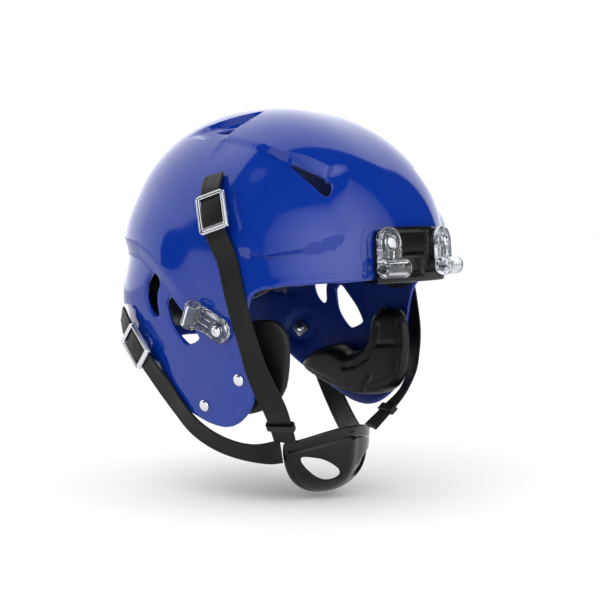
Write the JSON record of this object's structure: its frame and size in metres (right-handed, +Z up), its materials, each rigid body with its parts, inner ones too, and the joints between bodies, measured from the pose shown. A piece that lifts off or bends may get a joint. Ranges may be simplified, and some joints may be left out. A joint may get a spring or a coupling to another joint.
{
  "type": "american football helmet",
  "caption": "Adult football helmet: vented hard shell with ear holes, foam liner and jaw pads, clear face guard clips, front bumper and four-point chin strap with cup.",
  "frame": {"origin": "in the median plane at ear level, 15 mm over the lowest point of the ear holes and about half way along the head", "axes": "+Z up to the crown, -Y the way the face looks, -X the wearer's right side"},
  "size_m": [0.2518, 0.2822, 0.3201],
  "materials": {
    "shell": "gloss",
    "bumper": "satin",
    "cup": "satin",
    "pad": "matte skin over foam",
    "sheet": "clear",
    "clip": "clear",
    "screw": "polished",
    "plate": "matte",
    "webbing": "satin webbing",
    "chrome": "polished"
  },
  "bodies": {
    "helmet": {"shell": "shell", "front_bumper": "bumper", "chin_cup": "cup", "brow_pad": "pad", "crown_pad": "pad", "rear_pad": "pad", "side_pad_right": "pad", "side_pad_left": "pad", "liner_sheet": "sheet", "front_clip_right": "clip", "front_clip_left": "clip", "side_clip_right": "clip", "side_clip_left": "clip", "front_clip_screw_right": "screw", "front_clip_screw_left": "screw", "side_clip_screw_right": "screw", "side_clip_screw_left": "screw", "strap_studs": "screw", "jaw_pad_rivets": "screw", "stud_back_plates": "plate"},
    "upper_strap_right": {"upper_strap_right": "webbing", "upper_buckle_right": "chrome", "upper_snap_cap_right": "chrome", "strap_keeper_right": "webbing"},
    "lower_strap_right": {"lower_strap_right": "webbing", "lower_buckle_right": "chrome", "lower_snap_cap_right": "chrome"},
    "jaw_pad_right": {"jaw_pad_right": "pad"},
    "upper_strap_left": {"upper_strap_left": "webbing", "upper_buckle_left": "chrome", "upper_snap_cap_left": "chrome", "strap_keeper_left": "webbing"},
    "lower_strap_left": {"lower_strap_left": "webbing", "lower_buckle_left": "chrome", "lower_snap_cap_left": "chrome"},
    "jaw_pad_left": {"jaw_pad_left": "pad"}
  },
  "joints": [
    {"name": "upper_strap_right_swing", "type": "hinge", "parent": "helmet", "child": "upper_strap_right", "pos_m": [-0.056, -0.0545, -0.091], "axis": [0.114, -0.9807, 0.1589], "range_deg": [0, 75]},
    {"name": "lower_strap_right_swing", "type": "hinge", "parent": "helmet", "child": "lower_strap_right", "pos_m": [-0.0539, -0.0446, -0.101], "axis": [-0.279, -0.681, 0.677], "range_deg": [0, 75]},
    {"name": "jaw_pad_right_unsnap", "type": "slide", "parent": "helmet", "child": "jaw_pad_right", "axis": [1, 0, 0], "range_m": [0, 0.012]},
    {"name": "upper_strap_left_swing", "type": "hinge", "parent": "helmet", "child": "upper_strap_left", "pos_m": [0.056, -0.0545, -0.091], "axis": [0.114, 0.9807, -0.1589], "range_deg": [0, 75]},
    {"name": "lower_strap_left_swing", "type": "hinge", "parent": "helmet", "child": "lower_strap_left", "pos_m": [0.0539, -0.0446, -0.101], "axis": [-0.279, 0.681, -0.677], "range_deg": [0, 75]},
    {"name": "jaw_pad_left_unsnap", "type": "slide", "parent": "helmet", "child": "jaw_pad_left", "axis": [-1, 0, 0], "range_m": [0, 0.012]}
  ]
}
